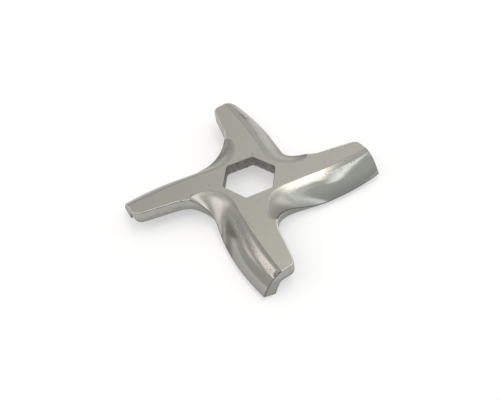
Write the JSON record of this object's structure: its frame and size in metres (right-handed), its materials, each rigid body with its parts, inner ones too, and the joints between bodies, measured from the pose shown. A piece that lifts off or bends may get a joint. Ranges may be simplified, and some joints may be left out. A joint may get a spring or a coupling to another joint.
{
  "type": "meat grinder knife",
  "caption": "Cross-shaped meat grinder knife bent from one steel plate, with a ground flat face, drooping flanks along the arms and a hexagonal drive hole.",
  "frame": {"origin": "on the axis of the hexagonal hole, at the plane the knife rests on", "axes": "+Z along the hole, towards the ground flat face; +X along the first arm's straight direction"},
  "size_m": [0.041, 0.041, 0.0048],
  "materials": {
    "steel": "polished, ground flat on top"
  },
  "bodies": {
    "root": {"grinder_knife": "steel"}
  },
  "joints": []
}
